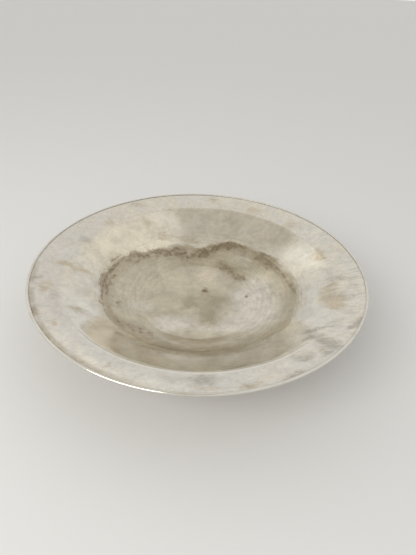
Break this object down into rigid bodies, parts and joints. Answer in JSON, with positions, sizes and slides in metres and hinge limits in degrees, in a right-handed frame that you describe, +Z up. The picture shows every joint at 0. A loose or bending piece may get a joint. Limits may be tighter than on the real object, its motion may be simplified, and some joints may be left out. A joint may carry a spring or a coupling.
{
  "type": "centrepiece bowl",
  "caption": "Round silver-plated centrepiece bowl: broad sloping brim with a beaded edge wire, flat-floored well with sloping walls, flared collet foot to stand on. Holds fruit or flowers.",
  "frame": {"origin": "on the bowl's axis, in the plane of the surface that the foot stands on", "axes": "+Z up along the bowl's axis; the bowl is turned, so X and Y are free"},
  "size_m": [0.36, 0.36, 0.075],
  "materials": {
    "dish_silver": "worn silver plate on spun brass, hazy, with brown tarnish",
    "wire_silver": "silver-plated drawn wire, rubbed bright",
    "foot_silver": "silver plate on spun brass, duller than the dish",
    "solder": "plated-over solder, satin"
  },
  "bodies": {
    "root": {"bowl_body": "dish_silver", "rim_wire": "wire_silver", "rim_solder_seam": "solder", "foot_ring": "foot_silver", "foot_solder_seam": "solder", "foot_wire": "wire_silver", "foot_wire_solder_seam": "solder"}
  },
  "joints": []
}
